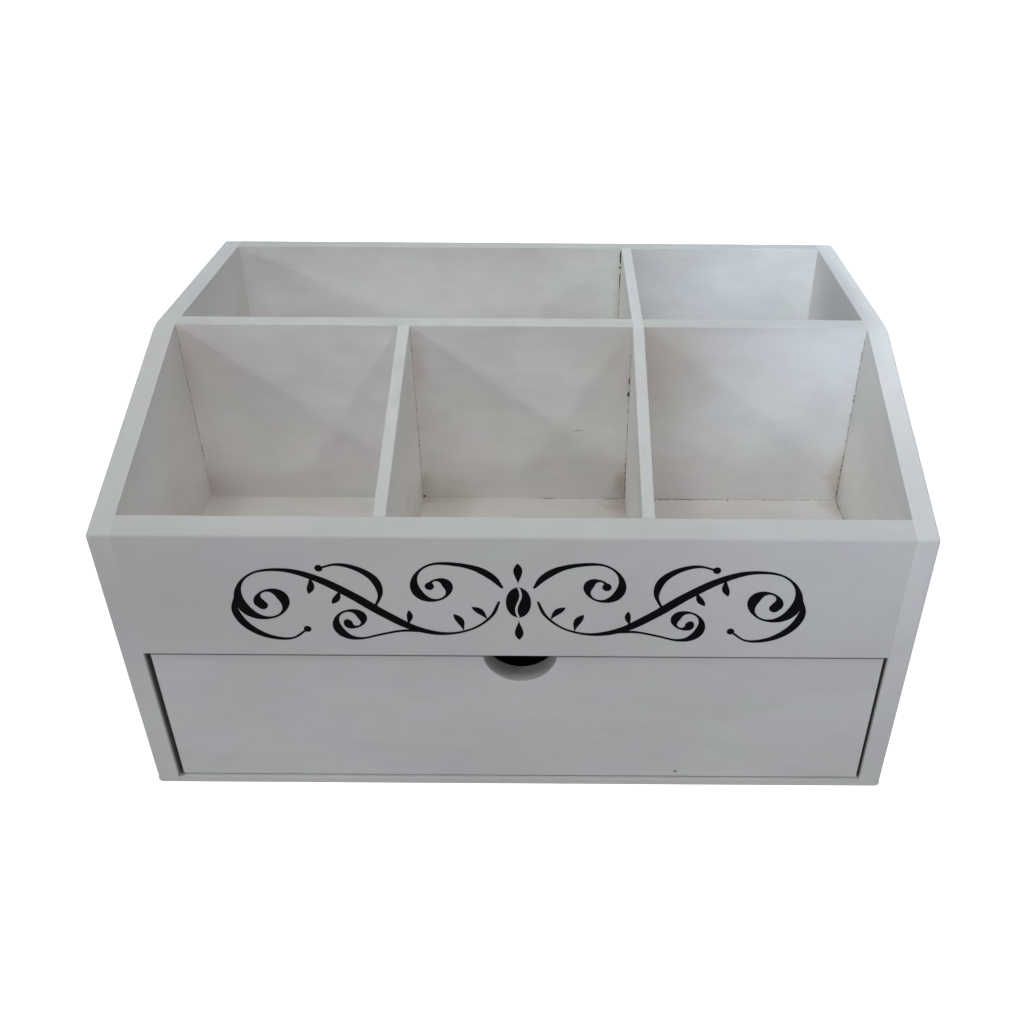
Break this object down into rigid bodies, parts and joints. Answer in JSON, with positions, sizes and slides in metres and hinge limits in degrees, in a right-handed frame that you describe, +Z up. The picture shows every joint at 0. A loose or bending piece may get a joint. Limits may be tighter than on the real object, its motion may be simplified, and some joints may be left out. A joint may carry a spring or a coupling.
{
  "type": "coffee station organizer",
  "caption": "White-washed wooden caddy with open compartments behind a sloping front and a drawer with a half-round finger notch below.",
  "frame": {"origin": "middle of the underside, on the surface that the box stands on", "axes": "+X runs to the right along the front, -Y points out of the front, the way the drawer slides out, and +Z is up"},
  "size_m": [0.32, 0.215, 0.174],
  "materials": {
    "painted_wood": "white-washed, brushed thin and matt, with a little grain showing",
    "bare_wood": "bare pale plywood, sanded",
    "brad_steel": "bright headless brads",
    "ornament_black": "thin matt black transfer"
  },
  "bodies": {
    "carcass": {"left_side": "painted_wood", "right_side": "painted_wood", "front_fascia": "painted_wood", "back_panel": "painted_wood", "lengthwise_divider": "painted_wood", "cross_divider": "painted_wood", "front_divider": "painted_wood", "compartment_floor": "painted_wood", "base_board": "painted_wood", "left_side_brads": "brad_steel", "right_side_brads": "brad_steel", "base_brads": "brad_steel", "fascia_brads": "brad_steel", "back_brads": "brad_steel", "divider_brads": "brad_steel"},
    "drawer": {"drawer_front": "painted_wood", "drawer_left_side": "bare_wood", "drawer_right_side": "bare_wood", "drawer_back": "bare_wood", "drawer_bottom": "bare_wood", "drawer_front_brads": "brad_steel", "drawer_back_brads": "brad_steel", "drawer_bottom_brads": "brad_steel"}
  },
  "joints": [
    {"name": "drawer_slide", "type": "slide", "parent": "carcass", "child": "drawer", "axis": [0, -1, 0], "range_m": [0, 0.17]}
  ]
}
